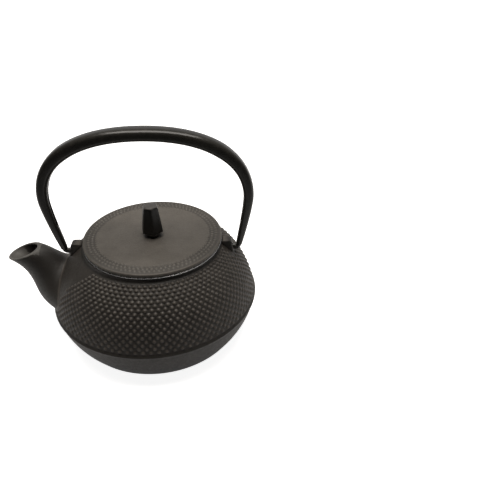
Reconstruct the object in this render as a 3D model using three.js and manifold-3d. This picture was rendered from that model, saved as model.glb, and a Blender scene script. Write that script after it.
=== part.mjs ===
// A small cast iron teapot: hobnailed body with a cast spout, loose lid with a riveted knob,
// swinging bail handle and a lift-out stainless infuser.
// Millimetres. +Z is up, the origin is the centre of the base, the spout points along -X
// and the handle swings about an axis parallel to X.

import * as THREE from "three";
import { mergeVertices } from "three/addons/utils/BufferGeometryUtils.js";
import Module from "manifold-3d";

const wasm = await Module();
wasm.setup();

// ---------------------------------------------------------------- driving dimensions

const GAP = 0.3; // between pieces that touch

// Pot body. Radii are taken over the tops of the hobnails.
const BASE_RADIUS = 59.8;
const BASE_CHAMFER = 0.8;
const BAND_TOP_Z = 27.5; // the plain lower band ends here
const BAND_TOP_RADIUS = 72.2;
const BELLY_Z = 28.2; // the hobnailed zone starts here
const BELLY_RADIUS = 72.8;
const BAND_GUIDE = [69.5, 13.5]; // pulls the band's outline outwards
const SHOULDER_GUIDES = [[68.4, 48.1], [61.5, 59.2]];
const SHOULDER_Z = 68.5;
const SHOULDER_RADIUS = 49.3;
const COLLAR_RADIUS = 47.2;
const COLLAR_FOOT_Z = 69.2;
const COLLAR_TOP_Z = 71.3;
const COLLAR_CHAMFER = 0.4;
const WALL = 3.4;
const FLOOR_Z = 4.6;
const FLOOR_CORNER = 2; // how far the floor stops short of the wall's foot
const NECK_UNDERSIDE_Z = 59.8; // the iron is thick above this, round the lug holes
const NECK_CORNER = 2.5;
const OPENING_RADIUS = 42.6;
const OPENING_CHAMFER = 0.8;
const CUT_PAST = 3; // how far a cutting tool runs past the face it opens

// Spout, which lies in the XZ plane: a ridge line above, a keel line below, ovals between.
const RIDGE = [[-52.4, 50.6], [-61.4, 52.9], [-67.7, 64.8], [-77.2, 67.5]];
const KEEL = [[-66, 25], [-95.4, 25.5], [-76.7, 45.4], [-99.9, 60.6]];
const SPOUT_HALF_WIDTHS = [33, 14, 10.9, 9.8];
const BORE_ROOF = [[-50, 47], [-61.5, 49.6], [-69.2, 61.6], [-79.6, 66.8]];
const BORE_FLOOR = [[-57, 33], [-86.8, 31.5], [-73.9, 47.6], [-97.8, 61.2]];
const BORE_HALF_WIDTHS = [10, 9.5, 7.8, 7.8];

// Lugs on the shoulder, and the pivot they hold.
const PIVOT_Z = 63.45;
const LUG_THICKNESS = 7.2;
const LUG_OUTLINE = [
  [46.5, 62],
  [48.2, 69.4],
  [49.2, 70.3],
  [54.2, 70.3],
  [55.6, 69.2],
  [57.2, 60.5],
  [50, 59.9],
];
const LUG_HOLE_RADIUS = 2.3;
const LUG_HOLE_BOTTOM_X = 49.9;
const LUG_HOLE_SIDES = 16;

// Bail handle: centre line measured from the pivot, then sizes along it.
const ARCH_HEIGHT = 84.9;
const ARCH_FLATNESS = 46.4;
const ARCH_HALF_SPAN = 67.4;
const ARCH_WIDEST_Z = 40.2;
const ARCH_CORNER_Z = 65.05;
const LEG_BEND_Z = 32.2;
const LEG_FOOT = [60.85, 2.5];
// Fraction of the way from the crown to the foot, half thickness in the arch's plane, half width across it.
const HANDLE_STATIONS = [
  [0, 4.15, 6.45],
  [0.4, 4.45, 5.6],
  [0.7, 3.52, 4],
  [0.93, 2.5, 2.9],
  [1, 2.1, 2.15],
];
const HANDLE_SHEET = 1.3; // the bail is folded from steel sheet
const HANDLE_SQUARENESS = 3; // superellipse power of its section
const HANDLE_SEAM = 2.4; // open seam along its underside
const SEAM_SHIFT = 4; // the seam's cutter is the handle's own section moved this far down
const SEAM_SQUARENESS = 8;
const HANDLE_HOLLOW_END = 0.86; // the fold closes up here, as a fraction of the way to the foot
const HOOK_RADIUS = 1.95;
const HOOK_TIP_X = 50.6;
const HOOK_BEND = 3;
const HOOK_ROOT = 2; // how far the rod runs up inside the leg's foot
const HOOK_ROOT_LEAN = 0.45; // how far out that root leans

// The infuser and the lid lie a little off the pot's centre, within their clearance in its mouth.
const LOOSE_SHIFT = 1.25;

// Lid.
const LID_RADIUS = 47.45;
const LID_UNDERSIDE_Z = 72.4;
const LID_TOP_Z = 75.35;
const LID_PLATE_UNDERSIDE_Z = 72;
const LID_SKIRT_OUTER = 39.1;
const LID_SKIRT_INNER = 37.3;
const LID_SKIRT_BOTTOM_Z = 66.4;
const LID_RECESS_RADIUS = 38.7; // the plain centre sits a hair below the dotted ring
const LID_RECESS_DEPTH = 0.3;
const BOSS_RADIUS = 5.2;
const BOSS_TOP_Z = 76.5;
const STUD_HOLE_RADIUS = 2.4;
const LID_EDGE = 0.5; // chamfers of the lid

// Knob, riveted through the lid.
const KNOB_BOTTOM_Z = BOSS_TOP_Z + GAP;
const KNOB_RIDGES = 6;
const KNOB_TURN = THREE.MathUtils.degToRad(41.5); // where the first ridge stands, from +X
// Height, radius over the ridges: a low foot, a sharp edge above it, then a long taper.
const KNOB_PROFILE = [
  [KNOB_BOTTOM_Z, 6.2],
  [78.2, 6.4],
  [78.5, 7.7],
  [79.1, 7.8],
  [96.9, 5.3],
  [97.7, 4.5],
];
const KNOB_RIDGE_DEPTH = 0.115; // how far the faces dip between ridges, as a fraction of the radius
const STUD_RADIUS = 2.1;
const STUD_REACH = 2; // how far the stud runs up inside the knob
const WASHER_RADIUS = 5.6;
const WASHER_THICKNESS = 0.8;
const RIVET_HEAD_RADIUS = 3.6;
const RIVET_HEAD_HEIGHT = 1.3;
const RIVET_CROWN_RADIUS = 2.5; // the head is domed below its rim
const RIVET_CROWN_DEPTH = 0.8;

// Infuser.
const FLANGE_RADIUS = 47.4;
const FLANGE_BOTTOM_Z = COLLAR_TOP_Z + GAP;
const RIM_SHEET = 0.5;
const RIM_BAND_INNER = 40.45;
const RIM_BAND_BOTTOM_Z = 63;
const MESH_THICKNESS = 0.5;
const BASKET_TOP_RADIUS = 40.15;
const BASKET_TOP_Z = 70.8;
const BASKET_FOOT_RADIUS = 38.6;
const BASKET_BOTTOM_Z = 29.4;
const BOTTOM_RING_HEIGHT = 4.5;
const BOTTOM_RING_LIP = 3.5;
const BOTTOM_MESH_RADIUS = 38.4;

// Facets round each turned piece, and steps along each curve.
const BODY_SEGMENTS = 56;
const INFUSER_SEGMENTS = 48;
const SMALL_SEGMENTS = 24;
const BAND_STEPS = 4;
const SHOULDER_STEPS = 8;
const SPOUT_STEPS = 14;
const BORE_STEPS = 9;
const ARCH_STEPS = 18;
const ARCH_SIDES = 12;
const HOOK_STEPS = 14;
const HOOK_CURVE_SEGMENTS = 6;
const KNOB_SIDES = KNOB_RIDGES * 4;

// ---------------------------------------------------------------- solids

// A closed three.js geometry as a manifold solid.
function solidFrom(geometry) {
  const bare = geometry.clone();
  bare.deleteAttribute("normal");
  bare.deleteAttribute("uv");
  const merged = mergeVertices(bare, 1e-4);
  const source = merged.index.array;
  const triangles = [];
  for (let i = 0; i < source.length; i += 3) {
    const [a, b, c] = source.subarray(i, i + 3);
    if (a !== b && b !== c && c !== a) triangles.push(a, b, c);
  }
  const mesh = new wasm.Mesh({
    numProp: 3,
    vertProperties: merged.attributes.position.array,
    triVerts: new Uint32Array(triangles),
  });
  return new wasm.Manifold(mesh);
}

// A manifold solid as a three.js geometry.
function geometryFrom(solid) {
  const mesh = solid.getMesh();
  const geometry = new THREE.BufferGeometry();
  geometry.setAttribute("position", new THREE.BufferAttribute(mesh.vertProperties, 3));
  geometry.setIndex(new THREE.BufferAttribute(mesh.triVerts, 1));
  geometry.computeVertexNormals();
  return geometry;
}

// A profile of [radius, z] points turned about Z.
function turned(profile, segments) {
  const points = profile.map(([radius, z]) => new THREE.Vector2(radius, z));
  return new THREE.LatheGeometry(points, segments).rotateX(Math.PI / 2);
}

// A ring: a closed profile that stays clear of the axis, turned about Z.
function turnedRing(profile, segments) {
  return turned([...profile, profile[0]], segments);
}

// A closed skin through rings of points, with a flat fan over each end.
function loft(rings) {
  const sides = rings[0].length;
  const last = rings.length - 1;
  const positions = rings.flat().flatMap((point) => point.toArray());
  const index = [];
  for (let i = 0; i < last; i += 1) {
    for (let j = 0; j < sides; j += 1) {
      const a = i * sides + j;
      const b = i * sides + ((j + 1) % sides);
      index.push(a, b, b + sides, a, b + sides, a + sides);
    }
  }
  for (const [ring, turn] of [[0, -1], [last, 1]]) {
    const centre = positions.length / 3;
    const middle = new THREE.Vector3();
    rings[ring].forEach((point) => middle.addScaledVector(point, 1 / sides));
    positions.push(...middle.toArray());
    for (let j = 0; j < sides; j += 1) {
      const a = ring * sides + j;
      const b = ring * sides + ((j + 1) % sides);
      index.push(...(turn > 0 ? [centre, a, b] : [centre, b, a]));
    }
  }
  const geometry = new THREE.BufferGeometry();
  geometry.setAttribute("position", new THREE.Float32BufferAttribute(positions, 3));
  geometry.setIndex(index);
  return geometry;
}

// A point of a superellipse: power 2 is an ellipse, a higher power is squarer.
function superellipse(angle, power) {
  const squared = (value) => Math.sign(value) * Math.abs(value) ** (2 / power);
  return [squared(Math.cos(angle)), squared(Math.sin(angle))];
}

function bezier(points) {
  return new THREE.CubicBezierCurve(...points.map(([x, z]) => new THREE.Vector2(x, z)));
}

// The number that four Bezier weights give at t.
function bezierNumber([a, b, c, d], t) {
  const s = 1 - t;
  return s * s * s * a + 3 * s * s * t * b + 3 * s * t * t * c + t * t * t * d;
}

// Points of a curve as [radius, z] pairs.
function samples(curve, count) {
  return curve.getPoints(count).map((point) => [point.x, point.y]);
}

// A profile moved inwards by a wall's thickness, square to itself.
function offsetInwards(profile, wall) {
  return profile.map(([radius, z], i) => {
    const [r0, z0] = profile[Math.max(i - 1, 0)];
    const [r1, z1] = profile[Math.min(i + 1, profile.length - 1)];
    const length = Math.hypot(r1 - r0, z1 - z0);
    return [radius - (wall * (z1 - z0)) / length, z + (wall * (r1 - r0)) / length];
  });
}

// ---------------------------------------------------------------- pot body

const bandCurve = new THREE.QuadraticBezierCurve(
  new THREE.Vector2(BASE_RADIUS, BASE_CHAMFER),
  new THREE.Vector2(...BAND_GUIDE),
  new THREE.Vector2(BAND_TOP_RADIUS, BAND_TOP_Z),
);
const shoulderCurve = bezier([
  [BELLY_RADIUS, BELLY_Z],
  ...SHOULDER_GUIDES,
  [SHOULDER_RADIUS, SHOULDER_Z],
]);

function potOutside() {
  return turned(
    [
      [0, 0],
      [BASE_RADIUS - BASE_CHAMFER, 0],
      ...samples(bandCurve, BAND_STEPS),
      ...samples(shoulderCurve, SHOULDER_STEPS),
      [COLLAR_RADIUS, COLLAR_FOOT_Z],
      [COLLAR_RADIUS, COLLAR_TOP_Z - COLLAR_CHAMFER],
      [COLLAR_RADIUS - COLLAR_CHAMFER, COLLAR_TOP_Z],
      [0, COLLAR_TOP_Z],
    ],
    BODY_SEGMENTS,
  );
}

function potCavity() {
  const inside = (curve, steps) =>
    offsetInwards(samples(curve, steps), WALL).filter(
      ([, z]) => z > FLOOR_Z + 1 && z < NECK_UNDERSIDE_Z - 1,
    );
  const low = inside(bandCurve, BAND_STEPS);
  const high = inside(shoulderCurve, SHOULDER_STEPS);
  return turned(
    [
      [0, FLOOR_Z],
      [BASE_RADIUS - WALL - FLOOR_CORNER, FLOOR_Z],
      ...low,
      ...high,
      [high.at(-1)[0] - NECK_CORNER, NECK_UNDERSIDE_Z],
      [OPENING_RADIUS + OPENING_CHAMFER, NECK_UNDERSIDE_Z],
      [OPENING_RADIUS, NECK_UNDERSIDE_Z + OPENING_CHAMFER],
      [OPENING_RADIUS, COLLAR_TOP_Z + CUT_PAST],
      [0, COLLAR_TOP_Z + CUT_PAST],
    ],
    BODY_SEGMENTS,
  );
}

// Ovals that stand across the XZ plane between an upper and a lower guide line.
function ovalBetween(upper, lower, halfWidth, sides) {
  const middle = upper.clone().add(lower).multiplyScalar(0.5);
  const half = upper.clone().sub(lower).multiplyScalar(0.5);
  const ring = [];
  for (let j = 0; j < sides; j += 1) {
    const [along, across] = superellipse((2 * Math.PI * j) / sides, 2);
    ring.push(
      new THREE.Vector3(middle.x + half.x * along, halfWidth * across, middle.y + half.y * along),
    );
  }
  return ring;
}

function spoutOutside() {
  const ridge = bezier(RIDGE);
  const keel = bezier(KEEL);
  const rings = [];
  for (let i = 0; i <= SPOUT_STEPS; i += 1) {
    const t = i / SPOUT_STEPS;
    const halfWidth = bezierNumber(SPOUT_HALF_WIDTHS, t);
    rings.push(ovalBetween(ridge.getPoint(t), keel.getPoint(t), halfWidth, SMALL_SEGMENTS));
  }
  return loft(rings);
}

// The way through the spout. Its last ring is pushed out past the mouth.
function spoutBore() {
  const roof = bezier(BORE_ROOF);
  const floor = bezier(BORE_FLOOR);
  const rings = [];
  for (let i = 0; i <= BORE_STEPS; i += 1) {
    const t = i / BORE_STEPS;
    const halfWidth = bezierNumber(BORE_HALF_WIDTHS, t);
    rings.push(ovalBetween(roof.getPoint(t), floor.getPoint(t), halfWidth, SMALL_SEGMENTS));
  }
  const mouth = roof.getPoint(1).sub(floor.getPoint(1)).normalize();
  const outwards = new THREE.Vector3(-mouth.y, 0, mouth.x).multiplyScalar(CUT_PAST);
  rings.push(rings.at(-1).map((point) => point.clone().add(outwards)));
  return loft(rings);
}

// A lug's outline drawn in XZ and given its thickness along Y; side is +1 or -1 along X.
function lug(side) {
  const outline = new THREE.Shape(LUG_OUTLINE.map(([x, z]) => new THREE.Vector2(side * x, z)));
  const geometry = new THREE.ExtrudeGeometry(outline, { depth: LUG_THICKNESS, bevelEnabled: false });
  return geometry.rotateX(Math.PI / 2).translate(0, LUG_THICKNESS / 2, 0);
}

// The blind hole in a lug, open on the lug's outer face.
function lugHole(side) {
  const outerX = Math.max(...LUG_OUTLINE.map(([x]) => x)) + CUT_PAST;
  const length = outerX - LUG_HOLE_BOTTOM_X;
  const hole = new THREE.CylinderGeometry(LUG_HOLE_RADIUS, LUG_HOLE_RADIUS, length, LUG_HOLE_SIDES);
  return hole.rotateZ(Math.PI / 2).translate(side * (LUG_HOLE_BOTTOM_X + length / 2), 0, PIVOT_Z);
}

function potBody() {
  let solid = solidFrom(potOutside()).add(solidFrom(spoutOutside()));
  for (const side of [-1, 1]) solid = solid.add(solidFrom(lug(side)));
  solid = solid.subtract(solidFrom(potCavity())).subtract(solidFrom(spoutBore()));
  for (const side of [-1, 1]) solid = solid.subtract(solidFrom(lugHole(side)));
  return geometryFrom(solid);
}

// ---------------------------------------------------------------- bail handle

// The right half of the handle's centre line, from crown to foot, in the XZ plane about the pivot.
function handleHalfLine() {
  const line = new THREE.CurvePath();
  line.add(
    bezier([
      [0, ARCH_HEIGHT],
      [ARCH_FLATNESS, ARCH_HEIGHT],
      [ARCH_HALF_SPAN, ARCH_CORNER_Z],
      [ARCH_HALF_SPAN, ARCH_WIDEST_Z],
    ]),
  );
  line.add(
    new THREE.QuadraticBezierCurve(
      new THREE.Vector2(ARCH_HALF_SPAN, ARCH_WIDEST_Z),
      new THREE.Vector2(ARCH_HALF_SPAN, LEG_BEND_Z),
      new THREE.Vector2(...LEG_FOOT),
    ),
  );
  return line;
}

// Half thickness and half width at a fraction of the way from crown to foot.
function handleSize(fraction) {
  const last = HANDLE_STATIONS.length - 2;
  const i = Math.min(HANDLE_STATIONS.findLastIndex(([start]) => start <= fraction), last);
  const [start, thick0, wide0] = HANDLE_STATIONS[i];
  const [end, thick1, wide1] = HANDLE_STATIONS[i + 1];
  const blend = (fraction - start) / (end - start);
  return [THREE.MathUtils.lerp(thick0, thick1, blend), THREE.MathUtils.lerp(wide0, wide1, blend)];
}

// Squared-off sections along the whole arch, out to a fraction of each leg.
// thick and wide turn a section's own half sizes into the half sizes wanted, and shift moves it inwards.
function archSections(reach, { thick = (t) => t, wide = (w) => w, shift = 0, power = HANDLE_SQUARENESS }) {
  const line = handleHalfLine();
  const rings = [];
  for (let i = ARCH_STEPS; i >= -ARCH_STEPS; i -= 1) {
    const side = i < 0 ? -1 : 1;
    const fraction = (reach * Math.abs(i)) / ARCH_STEPS;
    const point = line.getPointAt(fraction);
    const tangent = line.getTangentAt(fraction);
    const outwards = new THREE.Vector2(-tangent.y, tangent.x);
    const [halfThick, halfWide] = handleSize(fraction);
    const ring = [];
    for (let j = 0; j < ARCH_SIDES; j += 1) {
      const [along, across] = superellipse((2 * Math.PI * (j + 0.5)) / ARCH_SIDES, power);
      const out = thick(halfThick) * along - shift;
      ring.push(
        new THREE.Vector3(
          side * (point.x + outwards.x * out),
          wide(halfWide) * across,
          PIVOT_Z + point.y + outwards.y * out,
        ),
      );
    }
    rings.push(ring);
  }
  return loft(rings);
}

// The round rod at a leg's foot, which turns inwards into the lug.
function hook(side) {
  const rod = new THREE.Shape().absarc(0, 0, HOOK_RADIUS, 0, 2 * Math.PI);
  const at = (x, z) => new THREE.Vector3(side * x, 0, PIVOT_Z + z);
  const [footX, footZ] = LEG_FOOT;
  const path = new THREE.CurvePath();
  const root = at(footX + HOOK_ROOT_LEAN, footZ + HOOK_ROOT);
  const foot = at(footX, footZ);
  const corner = at(footX - HOOK_ROOT_LEAN, 0);
  const bendEnd = at(footX - HOOK_BEND, 0);
  path.add(new THREE.LineCurve3(root, foot));
  path.add(new THREE.QuadraticBezierCurve3(foot, corner, bendEnd));
  path.add(new THREE.LineCurve3(bendEnd, at(HOOK_TIP_X, 0)));
  return new THREE.ExtrudeGeometry(rod, {
    extrudePath: path,
    steps: HOOK_STEPS,
    curveSegments: HOOK_CURVE_SEGMENTS,
    bevelEnabled: false,
  });
}

function bailHandle() {
  let solid = solidFrom(archSections(1, {}));
  const inset = (half) => half - HANDLE_SHEET;
  const hollow = archSections(HANDLE_HOLLOW_END, { thick: inset, wide: inset });
  const seam = archSections(HANDLE_HOLLOW_END, {
    wide: () => HANDLE_SEAM / 2,
    shift: SEAM_SHIFT,
    power: SEAM_SQUARENESS,
  });
  for (const side of [-1, 1]) solid = solid.add(solidFrom(hook(side)));
  return geometryFrom(solid.subtract(solidFrom(hollow)).subtract(solidFrom(seam)));
}

// ---------------------------------------------------------------- lid and knob

function lid() {
  const floorZ = LID_TOP_Z - LID_RECESS_DEPTH;
  return turnedRing(
    [
      [STUD_HOLE_RADIUS, LID_PLATE_UNDERSIDE_Z],
      [LID_SKIRT_INNER, LID_PLATE_UNDERSIDE_Z],
      [LID_SKIRT_INNER, LID_SKIRT_BOTTOM_Z],
      [LID_SKIRT_OUTER - LID_EDGE, LID_SKIRT_BOTTOM_Z],
      [LID_SKIRT_OUTER, LID_SKIRT_BOTTOM_Z + LID_EDGE],
      [LID_SKIRT_OUTER, LID_UNDERSIDE_Z],
      [LID_RADIUS - LID_EDGE, LID_UNDERSIDE_Z],
      [LID_RADIUS, LID_UNDERSIDE_Z + LID_EDGE],
      [LID_RADIUS, LID_TOP_Z - LID_EDGE],
      [LID_RADIUS - LID_EDGE, LID_TOP_Z],
      [LID_RECESS_RADIUS, LID_TOP_Z],
      [LID_RECESS_RADIUS - LID_EDGE, floorZ],
      [BOSS_RADIUS + LID_EDGE, floorZ],
      [BOSS_RADIUS, floorZ + LID_EDGE],
      [BOSS_RADIUS, BOSS_TOP_Z - LID_EDGE],
      [BOSS_RADIUS - LID_EDGE, BOSS_TOP_Z],
      [STUD_HOLE_RADIUS, BOSS_TOP_Z],
    ],
    BODY_SEGMENTS,
  );
}

// A tapered six-sided knob, on a stud whose lower end is peened over a washer.
function lidKnob() {
  const rings = KNOB_PROFILE.map(([z, radius]) => {
    const ring = [];
    for (let j = 0; j < KNOB_SIDES; j += 1) {
      const angle = (2 * Math.PI * j) / KNOB_SIDES;
      const reach = radius * (1 - KNOB_RIDGE_DEPTH * Math.abs(Math.sin((KNOB_RIDGES * angle) / 2)));
      const turn = angle + KNOB_TURN;
      ring.push(new THREE.Vector3(reach * Math.cos(turn), reach * Math.sin(turn), z));
    }
    return ring;
  });
  const headTop = LID_PLATE_UNDERSIDE_Z - 2 * GAP - WASHER_THICKNESS;
  const stud = turned(
    [
      [0, headTop - RIVET_HEAD_HEIGHT],
      [RIVET_CROWN_RADIUS, headTop - RIVET_HEAD_HEIGHT],
      [RIVET_HEAD_RADIUS, headTop - RIVET_HEAD_HEIGHT + RIVET_CROWN_DEPTH],
      [RIVET_HEAD_RADIUS, headTop],
      [STUD_RADIUS, headTop],
      [STUD_RADIUS, KNOB_BOTTOM_Z + STUD_REACH],
      [0, KNOB_BOTTOM_Z + STUD_REACH],
    ],
    SMALL_SEGMENTS,
  );
  return geometryFrom(solidFrom(loft(rings)).add(solidFrom(stud)));
}

function knobWasher() {
  const top = LID_PLATE_UNDERSIDE_Z - GAP;
  return turnedRing(
    [
      [STUD_HOLE_RADIUS, top - WASHER_THICKNESS],
      [WASHER_RADIUS, top - WASHER_THICKNESS],
      [WASHER_RADIUS, top],
      [STUD_HOLE_RADIUS, top],
    ],
    SMALL_SEGMENTS,
  );
}

// ---------------------------------------------------------------- infuser

// Flange that lies on the pot's collar, with a band that hangs from it round the mesh.
function infuserRim() {
  const top = FLANGE_BOTTOM_Z + RIM_SHEET;
  return turnedRing(
    [
      [RIM_BAND_INNER, RIM_BAND_BOTTOM_Z],
      [RIM_BAND_INNER + RIM_SHEET, RIM_BAND_BOTTOM_Z],
      [RIM_BAND_INNER + RIM_SHEET, FLANGE_BOTTOM_Z],
      [FLANGE_RADIUS, FLANGE_BOTTOM_Z],
      [FLANGE_RADIUS, top],
      [RIM_BAND_INNER, top],
    ],
    INFUSER_SEGMENTS,
  );
}

// The mesh wall's outer radius at height z: it narrows a little towards its foot.
function basketRadius(z) {
  const fraction = (z - BASKET_BOTTOM_Z) / (BASKET_TOP_Z - BASKET_BOTTOM_Z);
  return THREE.MathUtils.lerp(BASKET_FOOT_RADIUS, BASKET_TOP_RADIUS, fraction);
}

function infuserSideMesh() {
  const bottom = BASKET_BOTTOM_Z + RIM_SHEET + MESH_THICKNESS + 2 * GAP;
  return turnedRing(
    [
      [basketRadius(bottom) - MESH_THICKNESS, bottom],
      [basketRadius(bottom), bottom],
      [basketRadius(BASKET_TOP_Z), BASKET_TOP_Z],
      [basketRadius(BASKET_TOP_Z) - MESH_THICKNESS, BASKET_TOP_Z],
    ],
    INFUSER_SEGMENTS,
  );
}

// A channel round the foot of the mesh wall, with a lip under the bottom mesh.
function infuserBottomRing() {
  const top = BASKET_BOTTOM_Z + BOTTOM_RING_HEIGHT;
  const inner = (z) => basketRadius(z) + GAP;
  const corner = BASKET_BOTTOM_Z + RIM_SHEET;
  return turnedRing(
    [
      [BASKET_FOOT_RADIUS - BOTTOM_RING_LIP, BASKET_BOTTOM_Z],
      [inner(BASKET_BOTTOM_Z) + RIM_SHEET, BASKET_BOTTOM_Z],
      [inner(top) + RIM_SHEET, top],
      [inner(top), top],
      [inner(corner), corner],
      [BASKET_FOOT_RADIUS - BOTTOM_RING_LIP, corner],
    ],
    INFUSER_SEGMENTS,
  );
}

function infuserBottomMesh() {
  const bottom = BASKET_BOTTOM_Z + RIM_SHEET + GAP;
  return turned(
    [
      [0, bottom],
      [BOTTOM_MESH_RADIUS, bottom],
      [BOTTOM_MESH_RADIUS, bottom + MESH_THICKNESS],
      [0, bottom + MESH_THICKNESS],
    ],
    INFUSER_SEGMENTS,
  );
}

// ---------------------------------------------------------------- assembly

const castIron = { color: 0x38342f, roughness: 0.72, metalness: 0.35 };
const lidIron = { color: 0x4a4640, roughness: 0.7, metalness: 0.35 };
const blackEnamel = { color: 0x0c0c0d, roughness: 0.28, metalness: 0.1 };
const stainless = { color: 0xb9bbbd, roughness: 0.3, metalness: 1 };
const meshSteel = { color: 0x9a9c9e, roughness: 0.45, metalness: 1 };

function piece(name, geometry, finish) {
  const mesh = new THREE.Mesh(geometry, new THREE.MeshStandardMaterial(finish));
  mesh.name = name;
  return mesh;
}

const lidGroup = new THREE.Group();
lidGroup.position.x = LOOSE_SHIFT;
lidGroup.add(
  piece("lid", lid(), lidIron),
  piece("lid_knob", lidKnob(), blackEnamel),
  piece("knob_washer", knobWasher(), stainless),
);

const infuserGroup = new THREE.Group();
infuserGroup.position.x = LOOSE_SHIFT;
infuserGroup.add(
  piece("infuser_rim", infuserRim(), stainless),
  piece("infuser_side_mesh", infuserSideMesh(), meshSteel),
  piece("infuser_bottom_ring", infuserBottomRing(), stainless),
  piece("infuser_bottom_mesh", infuserBottomMesh(), meshSteel),
);

const teapot = new THREE.Group();
teapot.add(
  piece("pot_body", potBody(), castIron),
  piece("bail_handle", bailHandle(), blackEnamel),
  infuserGroup,
  lidGroup,
);

export default teapot;
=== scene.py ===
"""A small cast iron teapot with hobnails, a loose lid, a swinging bail handle and a steel infuser.

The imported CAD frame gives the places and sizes. This script gives each piece its fine surface.
Lengths are in millimetres until a mesh is made, because new_piece() turns them into metres.
"""

import math

import bmesh
import bpy
import numpy as np
from mathutils import Matrix, Vector


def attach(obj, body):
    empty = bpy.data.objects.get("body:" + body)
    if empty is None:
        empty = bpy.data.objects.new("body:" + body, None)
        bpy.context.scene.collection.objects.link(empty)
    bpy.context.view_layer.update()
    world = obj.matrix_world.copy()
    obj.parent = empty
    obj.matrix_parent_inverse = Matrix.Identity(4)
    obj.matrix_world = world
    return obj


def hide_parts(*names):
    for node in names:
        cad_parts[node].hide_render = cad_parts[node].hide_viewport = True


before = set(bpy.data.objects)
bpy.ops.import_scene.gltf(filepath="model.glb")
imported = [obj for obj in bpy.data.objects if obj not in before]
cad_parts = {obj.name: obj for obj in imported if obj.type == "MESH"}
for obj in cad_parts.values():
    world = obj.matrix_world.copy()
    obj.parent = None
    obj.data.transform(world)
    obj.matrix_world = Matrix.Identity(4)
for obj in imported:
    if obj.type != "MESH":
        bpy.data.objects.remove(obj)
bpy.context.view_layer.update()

MM = 0.001

# ---- camera

CAMERA_PLACE = (0.0482, -0.3139, 0.2722)
CAMERA_TURN = -3.74  # degrees about Z, from looking along +Y
CAMERA_PITCH = 34.052  # degrees below the horizon
CAMERA_ROLL = -0.585
CAMERA_LENS = 38.15
CAMERA_SENSOR = 36.0


def make_camera():
    data = bpy.data.cameras.new("camera")
    data.lens = CAMERA_LENS
    data.sensor_width = CAMERA_SENSOR
    data.clip_start = 0.01
    data.clip_end = 50.0
    camera = bpy.data.objects.new("camera", data)
    turn = Matrix.Rotation(math.radians(CAMERA_TURN), 4, "Z")
    tip = Matrix.Rotation(math.radians(90.0 - CAMERA_PITCH), 4, "X")
    roll = Matrix.Rotation(math.radians(-CAMERA_ROLL), 4, "Z")
    camera.matrix_world = Matrix.Translation(CAMERA_PLACE) @ turn @ tip @ roll
    bpy.context.scene.collection.objects.link(camera)
    bpy.context.scene.camera = camera


make_camera()

# ---- dimensions, mm

# Hobnails: as many in each row of the pot and the lid. first is how far the first row lies from
# the edge that the rows start at, upwards on the pot and inwards on the lid.
DOTS_PER_ROW = 90
BODY_DOT_HEIGHT = 0.9
BODY_DOTS = {"rows": 18, "first": 2.2, "pitch": 2.5, "radius": 1.42, "height": BODY_DOT_HEIGHT}
LID_DOT_HEIGHT = 0.6
LID_DOTS = {"rows": 3, "first": 1.95, "pitch": 2.7, "radius": 1.2, "height": LID_DOT_HEIGHT}
DOT_UNEVENNESS = 0.07
EDGE_ROW_REACH = 0.68  # share of the pitch from an outer row's middle to the band's straight edge
# Share of a dot's radius, share of its height.
DOT_PROFILE = [(1.0, 0.0), (0.7, 0.4), (0.36, 0.84)]
DOT_SIDES = 12

# Pot body.
BASE_MIDDLE_RADIUS = 40.0
BASE_RADIUS = 59.8
BASE_ROUNDING = 0.8
BAND = [(59.8, 0.8), (69.5, 13.5), (72.2, 27.5)]
LIP = [(72.72, 27.85), (72.8, 28.2), (72.72, 28.6), (72.1, 29.1)]
SHOULDER = [(72.8, 28.2), (68.4, 48.1), (61.5, 59.2), (49.3, 68.5)]
GROUND_START_Z = 29.3
# Height, and half the angle in degrees round the spout that has no hobnails at that height.
PLAIN_AT_SPOUT = [(28, 17), (40, 24), (50, 28), (57, 31.5), (60, 34), (67, 46)]
PLAIN_AT_LUG = 10.0  # the same half angle at the lug across from the spout
PLAIN_AT_LUG_Z = 59.0
NECK = [(48.9, 68.0), (47.9, 68.6)]
COLLAR_FOOT_Z = 69.4
COLLAR_RADIUS = 47.2
COLLAR_TOP_Z = 71.3
WALL = 3.4
CAVITY_SEGMENTS = 128
LINING_DEPTH = 1.6  # what lies deeper than this under the outside is enamelled
FLOOR_Z = 4.6  # of the pot's inside
NECK_UNDERSIDE_Z = 59.8
OPENING_RADIUS = 42.6

# Spout.
RIDGE = [(-52.4, 50.6), (-61.4, 52.9), (-67.7, 64.8), (-77.2, 67.5)]
KEEL = [(-66, 25), (-95.4, 25.5), (-76.7, 45.4), (-99.9, 60.6)]
SPOUT_HALF_WIDTHS = [33, 14, 10.9, 9.8]
BORE_ROOF = [(-50, 47), (-61.5, 49.6), (-69.2, 61.6), (-79.6, 66.8)]
BORE_FLOOR = [(-57, 33), (-86.8, 31.5), (-73.9, 47.6), (-97.8, 61.2)]
BORE_HALF_WIDTHS = [10, 9.5, 7.8, 7.8]
# The mouth's outer edge is drawn in and back, and the bore's is flared and carried on ahead.
MOUTH_ROUNDING = [(0.0, 0.7), (0.12, 0.3), (0.35, 0.08), (0.75, 0.0)]
BORE_FLARE = [(0.0, -0.7), (0.12, -0.3), (0.5, 0.0), (1.2, 0.8), (1.2, 4.0)]
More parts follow.
